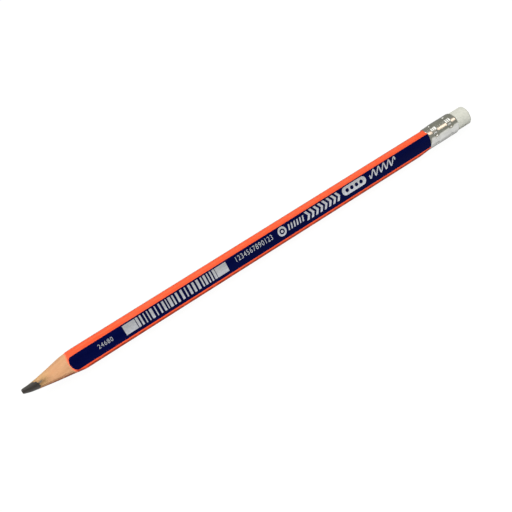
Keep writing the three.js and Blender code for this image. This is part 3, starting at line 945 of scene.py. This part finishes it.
def make_ferrule(material):
    """One drawn tube, outside rings forward and inside rings back, then crimped on wood and eraser."""
    x_mouth = X_FERRULE - MOUTH_OVERLAP
    outside = np.linspace(x_mouth, X_RIM, STEPS_ALONG_FERRULE)
    inside = outside[::-INSIDE_STEP]
    on_coat = barrel_radius(X_SHOULDER, AROUND, COAT_THICKNESS + STRIPE_RISE) + MOUTH_GAP

    def drawn_in(place):
        """Outside of the tube, which lies close to the coat at its mouth."""
        form = ferrule_form(place, AROUND)
        share = smoothstep(place, x_mouth, x_mouth + MOUTH_DRAWN)
        return lerp(np.minimum(form, on_coat + MOUTH_WALL), form, share)

    def askew(place):
        return place + mouth(AROUND) * (1 - smoothstep(place, x_mouth, x_mouth + MOUTH_LENGTH))

    rings = []
    for place in outside:
        from_end = min(place - x_mouth, X_RIM - place)
        turned_in = RIM_ROUND * max(0, 1 - from_end / RIM_ROUND) ** 2
        rings.append(ring(AROUND, askew(place), drawn_in(place) - turned_in))
    for place in inside:
        form = drawn_in(place)
        wall = np.minimum(on_coat, form - RIM_ROUND) if place < X_FERRULE else form - FERRULE_WALL
        rings.append(ring(AROUND, askew(place), wall))
    tube = skin("aluminium_ferrule", rings, "loop")
    mark_rings(tube, "outer_wall", [1.0] * len(outside) + [0.0] * len(inside))
    piece = run_tree("aluminium_ferrule", make_crimp_tree(material), FERRULE_SIZES, start=tube)
    finish_piece(piece, ["ferrule"])


# Eraser

def make_eraser(material):
    """A plug that swells behind the rim and ends in a slanted face, rubbed round on one side."""
    worn = (1 + towards(AROUND, ERASER_WORN_SIDE)) / 2
    rounding = lerp(ERASER_EDGE, ERASER_WORN_EDGE, worn)

    def end_face(radius):
        return X_END - ERASER_SLANT * (1 + radius / ERASER_RADIUS * (2 * worn - 1)) / 2

    rings = []
    for place in np.linspace(X_ERASER, X_RIM, STEPS_ALONG_PLUG):
        inside = ferrule_form(place, AROUND) - FERRULE_WALL - CRIMP_DEPTH - ERASER_CLEARANCE
        rings.append(ring(AROUND, place, np.minimum(ERASER_RADIUS, inside)))
    for share in np.linspace(0, 1, STEPS_ALONG_ERASER):
        place = lerp(X_RIM + ERASER_SWELL, end_face(ERASER_RADIUS) - rounding, share)
        rings.append(ring(AROUND, place, ERASER_RADIUS))
    for turn in np.linspace(0, math.pi / 2, STEPS_ROUND_ERASER)[1:]:
        radius = ERASER_RADIUS - rounding * (1 - math.cos(turn))
        rings.append(ring(AROUND, end_face(radius) - rounding * (1 - math.sin(turn)), radius))
    for share in np.linspace(1, 0, STEPS_ACROSS_ERASER)[1:-1]:
        radius = (ERASER_RADIUS - rounding) * share
        rings.append(ring(AROUND, end_face(radius), radius))
    for one in rings[STEPS_ALONG_PLUG:]:
        for point in one:
            lump = sum(share * noise.noise(Vector(point) * count) for share, count in ERASER_LUMPS)
            outward = Vector((ERASER_LEAN, point[1], point[2] - AXIS_HEIGHT)).normalized()
            point -= np.array(outward) * ERASER_WOBBLE * (0.5 + 0.5 * lump)
    finish_piece(skin("worn_eraser", rings, "fan"), ["eraser"], material)


# Foil marks, made flat with X along the pencil and Y across the stripe, then laid round the front side

DIGIT_SPACING = 1.15  # between numerals, against the font's own spacing
PRESS_SIZES = {
    "fineness": 1,
    "thickness": FOIL_THICKNESS,
    "lift": STRIPE_RISE - FOIL_SINK,
    "crown_radius": SIDE_RADIUS,
    "crown_centre": SIDE_CENTRE,
    "side_angle": float(FRONT_SIDE),
    "axis_height": AXIS_HEIGHT,
}


def press_foil(tree, flat, fineness, thickness, lift, crown_radius, crown_centre, side_angle, axis_height):
    """Gives flat marks the foil's thickness and lays them round the crowned side of the barrel."""
    real = tree.add("GeometryNodeRealizeInstances", {"Geometry": flat})
    fine = tree.add("GeometryNodeSubdivideMesh", {"Mesh": real, "Level": fineness})
    raised = tree.add("GeometryNodeExtrudeMesh", {
        "Mesh": fine, "Offset Scale": thickness, "Individual": False})
    under = tree.add("GeometryNodeFlipFaces", {"Mesh": fine})
    solid = tree.add("GeometryNodeMergeByDistance", {
        "Geometry": tree.joined(raised, under), "Distance": FOIL_THICKNESS / 4})
    x, y, z = tree.position()
    radius = crown_radius + lift + z
    turn = y / crown_radius
    out = radius * tree.math("COSINE", turn) - crown_centre
    across = radius * tree.math("SINE", turn)
    cosine, sine = [tree.math(operation, side_angle) for operation in ("COSINE", "SINE")]
    up = out * sine - across * cosine + axis_height
    return tree.done(Geometry=tree.moved(solid, Position=tree.vector(x, out * cosine + across * sine, up)))


def bar_block(tree, start, end, low, high, end_block, bars, thinnest, thickest, seed):
    """A solid block at each end and bars of drawn widths between them, which fill the room exactly."""
    middle = (high + low) / 2.0
    drawn = []
    for seed_step in (0.0, 1.0):
        value = tree.add("FunctionNodeRandomValue", {
            2: thinnest, 3: thickest, "Seed": seed + seed_step}, data_type="FLOAT")
        drawn.append(Value(tree, value.outputs[1]))
    width, gap = drawn
    step = width + gap
    counted = tree.add("GeometryNodeAccumulateField", {0: step}, data_type="FLOAT").outputs
    fit = (end - start - end_block * 2.0) / counted["Total"]
    place = (step * 0.5 + counted["Trailing"]) * fit + (start + end_block)
    bar = tree.grid(1.0, high - low, columns=2, rows=5)
    spots = tree.add("GeometryNodePoints", {"Count": bars})
    spots = tree.moved(spots, Position=tree.vector(place, middle))
    thin = tree.copies(bar, spots, tree.vector(width * fit, 1.0, 1.0))
    ends = tree.row(2, tree.vector(start + end_block / 2.0, middle), tree.vector(end - start - end_block))
    return tree.joined(thin, tree.copies(bar, ends, tree.vector(end_block, 1.0, 1.0)))


def mark_row(tree, marks, first, step, width, height, slant, fold):
    """A row of bars; slant leans them and fold turns them into chevrons."""
    bar = tree.grid(width, height, columns=3, rows=9)
    _, y, _ = tree.position()
    bar = tree.moved(bar, Offset=tree.vector(y * slant - tree.math("ABSOLUTE", y) * fold))
    return tree.copies(bar, tree.row(marks, first, step))


def dot_row(tree, dots, first, step, radius):
    """A row of round dots."""
    dot = tree.add("GeometryNodeMeshCircle", {"Vertices": 24, "Radius": radius}, fill_type="NGON")
    return tree.copies(dot, tree.row(dots, first, step))


def wave(tree, middle, length, width, pitch, swing, slant):
    """A ribbon that runs along the stripe in waves; slant leans them."""
    ribbon = tree.grid(length, width, columns=121, rows=2)
    along, across, _ = tree.position()
    waves = 2 * math.pi / pitch
    turn = along * waves
    slope = tree.math("COSINE", turn) * waves * swing
    square = across / tree.math("SQRT", slope * slope + 1.0)
    y = tree.math("SINE", turn) * swing + square
    waved = tree.moved(ribbon, Position=tree.vector(y * slant + (along - square * slope), y))
    return tree.moved(waved, Offset=middle)


def plate(tree, middle, length, height, corner, holes, hole_radius, hole_pitch):
    """A plate with rounded corners and a row of round holes; with one hole in a round plate it is a ring."""
    outline = tree.add("GeometryNodeCurvePrimitiveQuadrilateral", {
        "Width": length, "Height": height}, mode="RECTANGLE")
    rounded = tree.add("GeometryNodeFilletCurve", {
        "Curve": outline, "Count": 12, "Radius": corner, "Limit Radius": True}, mode="POLY")
    hole = tree.add("GeometryNodeCurvePrimitiveCircle", {"Resolution": 28, "Radius": hole_radius})
    first = (1.0 - holes) * 0.5 * hole_pitch
    spots = tree.row(holes, tree.vector(first), tree.vector(hole_pitch))
    pierced = tree.add("GeometryNodeRealizeInstances", {"Geometry": tree.copies(hole, spots)})
    flat = tree.add("GeometryNodeFillCurve", {"Curve": tree.joined(rounded, pierced)}, mode="TRIANGLES")
    return tree.moved(flat, Offset=middle)


def digit_row(tree, digits, start, end, low, high):
    """A row of plain numerals, drawn to the row's length and height."""
    curves = tree.add("GeometryNodeStringToCurves", {"String": digits, "Character Spacing": DIGIT_SPACING})
    curves = tree.add("GeometryNodeRealizeInstances", {"Geometry": curves})
    shapes = tree.add("GeometryNodeFillCurve", {"Curve": curves}, mode="TRIANGLES")
    box = tree.add("GeometryNodeBoundBox", {"Geometry": shapes}).outputs
    parts = zip(tree.position(), tree.split(box["Min"]), tree.split(box["Max"]))
    spread = []
    for (part, least, most), near, far in zip(parts, (start, low), (end, high)):
        spread.append((part - least) / (most - least) * (far - near) + near)
    return tree.moved(shapes, Position=tree.vector(*spread))


# How often the faces of each kind of mark are divided, so that they follow the crown
FINENESS = {bar_block: 1, mark_row: 1, dot_row: 2, plate: 3, digit_row: 2, wave: 1}
FOIL_MARKS = {
    "foil_small_digits": (digit_row, dict(digits="24680", start=-67.05, end=-61.9, low=-0.35, high=1.1)),
    "foil_bar_block": (bar_block, dict(
        start=-57.7, end=-18.5, low=-1.35, high=2.05, end_block=4.4, bars=22, thinnest=0.35, thickest=1.1,
        seed=7)),
    "foil_digits": (digit_row, dict(digits="1234567890123", start=-14.9, end=0.1, low=-0.2, high=1.65)),
    "foil_ring": (plate, dict(
        middle=(4.1, 0.47, 0.0), length=3.4, height=3.4, corner=1.7,
        holes=1, hole_radius=1.0, hole_pitch=1.0)),
    "foil_ring_dot": (dot_row, dict(dots=1, first=(4.1, 0.47, 0.0), step=(1.0, 0.0, 0.0), radius=0.5)),
    "foil_dashes": (mark_row, dict(
        marks=6, first=(7.0, 0.5, 0.0), step=(1.2, 0.0, 0.0), width=0.55, height=2.0, slant=0.25, fold=0.0)),
    "foil_chevrons": (mark_row, dict(
        marks=8, first=(15.6, 0.47, 0.0), step=(1.9, 0.0, 0.0), width=0.95, height=3.2, slant=0.0, fold=0.6)),
    "foil_capsule": (plate, dict(
        middle=(35.8, 0.6, 0.0), length=10.6, height=3.1, corner=1.5,
        holes=4, hole_radius=0.72, hole_pitch=2.1)),
    "foil_wave": (wave, dict(
        middle=(49.0, 0.8, 0.0), length=12.0, width=0.5, pitch=2.4, swing=1.15, slant=0.35)),
}


def make_foil_marks(foil):
    """Plain silver marks along the front stripe; marks of one kind share a tree."""
    group = new_group("GeometryNodeTree", "press foil", {"flat": None, **PRESS_SIZES}, GEOMETRY_OUT)
    press = press_foil(group, **group.given)
    trees = {}
    for name, (kind, sizes) in FOIL_MARKS.items():
        if kind not in trees:
            tree = new_group("GeometryNodeTree", kind.__name__, sizes, GEOMETRY_OUT)
            flat = kind(tree, **tree.given)
            trees[kind] = end_tree(tree, tree.use(press, {"flat": flat, "fineness": FINENESS[kind]}), foil)
        finish_piece(run_tree(name, trees[kind], sizes))


# Floor, lights and camera

FLOOR_SIZE = 3000
FLOOR_GAP = 0.02
FLOOR_GLOW = 0.95  # part of the floor's white that doesn't depend on the lamps
FLOOR_WHITE = 0.08  # reflection of the floor itself, which carries the shadow
FLOOR_SHADE_REACH = 6  # how far from the pencil the floor's reflection gets a painted contact shadow
FLOOR_SHADE_BACK = 0.25  # painted shade on the floor's reflection behind the pencil
FLOOR_BACK_REACH = 10  # how far behind the pencil it gets that dark
ROOM_COLOUR = (0.33, 0.33, 0.28, 1.0)
WHITE = (1.0, 1.0, 1.0)
PEACH = (1.0, 0.77, 0.62)
MIDDLE = (0.0, 0.0, 0.0)
# Place, spot that the lamp faces and size, all in metres; then watts, colour and whether reflections show it
LAMPS = {
    "overhead_softbox": ((-0.05, 0.1, 0.9), (-0.05, 0.1, 0.0), (1.1, 0.63), 3.2, WHITE, True),
    "front_fill": ((-0.5, -0.8, 0.22), MIDDLE, (0.7, 0.4), 6.6, WHITE, False),
    "back_fill": ((-0.3, 0.75, 0.75), MIDDLE, (0.7, 0.5), 5.4, WHITE, False),
    "front_card": ((0.57, -0.82, 0.14), MIDDLE, (0.8, 0.3), 0.55, WHITE, True),
    "warm_strip": ((0.7, -0.29, 0.86), (0.08, 0.0, 0.0), (0.5, 0.2), 0.64, PEACH, True),
}
CAMERA_PLACE = (-67.063, -140.984, 163.375)
CAMERA_TURN = (42.148, 10.1137, -34.2444)  # degrees
CAMERA_LENS = 45.70
CAMERA_SENSOR = 36.0
CAMERA_CLIP = 10


def make_floor():
    half = FLOOR_SIZE / 2 * MM
    height = -FLOOR_GAP * MM
    mesh = bpy.data.meshes.new("floor")
    corners = [(-half, -half, height), (half, -half, height), (half, half, height), (-half, half, height)]
    mesh.from_pydata(corners, [], [(0, 1, 2, 3)])
    floor = add_object("floor", mesh)
    material = bpy.data.materials.new("pale_floor")
    material.use_nodes = True
    material.node_tree.nodes.clear()
    tree = Tree(material.node_tree)
    rays = tree.add("ShaderNodeLightPath").outputs
    # Painted shadow in reflections: the floor's glow, as metal and gloss see it, is darker near the pencil
    # and behind it
    reflection_contact_shade = tree.add("ShaderNodeAmbientOcclusion", {"Distance": FLOOR_SHADE_REACH * MM}).outputs["AO"]
    _, behind, _ = tree.split(tree.add("ShaderNodeTexCoord").outputs["Object"])
    reflection_back_shade = tree.between(behind, 0.0, FLOOR_BACK_REACH * MM, 1.0, FLOOR_SHADE_BACK)
    reflected = tree.math("ADD", rays["Is Glossy Ray"], rays["Is Transmission Ray"])
    reflected = tree.math("MINIMUM", reflected, 1.0) * reflection_contact_shade * reflection_back_shade
    shown = tree.math("MAXIMUM", rays["Is Camera Ray"], reflected)
    paper = tree.add("ShaderNodeBsdfDiffuse", {"Color": (FLOOR_WHITE, FLOOR_WHITE, FLOOR_WHITE, 1.0)})
    glow = tree.add("ShaderNodeEmission", {"Strength": shown * FLOOR_GLOW})
    both = tree.add("ShaderNodeAddShader", {0: paper, 1: glow})
    tree.add("ShaderNodeOutputMaterial", {"Surface": both})
    mesh.materials.append(material)


def make_lamp(name, place, aim, size, power, tint, in_reflections):
    lamp = bpy.data.lights.new(name, "AREA")
    lamp.shape = "RECTANGLE"
    lamp.size, lamp.size_y = size
    lamp.energy = power
    lamp.color = tint
    softbox = bpy.data.objects.new(name, lamp)
    softbox.location = place
    softbox.visible_glossy = in_reflections
    softbox.rotation_euler = (Vector(aim) - Vector(place)).to_track_quat("-Z", "Y").to_euler()
    bpy.context.scene.collection.objects.link(softbox)


def make_light():
    world = bpy.data.worlds.new("dim_room")
    world.use_nodes = True
    world.node_tree.nodes["Background"].inputs["Color"].default_value = ROOM_COLOUR
    bpy.context.scene.world = world
    for name, values in LAMPS.items():
        make_lamp(name, *values)


def make_camera():
    lens = bpy.data.cameras.new("camera")
    lens.lens = CAMERA_LENS
    lens.sensor_width = CAMERA_SENSOR
    lens.clip_start = CAMERA_CLIP * MM
    camera = bpy.data.objects.new("camera", lens)
    camera.location = Vector(CAMERA_PLACE) * MM
    camera.rotation_euler = [math.radians(turn) for turn in CAMERA_TURN]
    bpy.context.scene.collection.objects.link(camera)
    bpy.context.scene.camera = camera


bpy.context.scene.view_settings.view_transform = "Standard"
make_camera()
make_floor()
make_light()

wood = make_wood()
ink = make_stripe_ink()
make_lead(make_graphite())
make_slat("upper_slat", "wood_slat_upper", 0.0, wood)
make_slat("lower_slat", "wood_slat_lower", math.pi, wood)
make_coat(make_lacquer())
for side, side_angle in zip(("back", "front", "bottom"), SIDE_ANGLES):
    make_stripe(f"blue_stripe_{side}", f"stripe_{side}", side_angle, ink)
make_ferrule(make_aluminium())
make_eraser(make_vinyl())
make_foil_marks(make_foil())
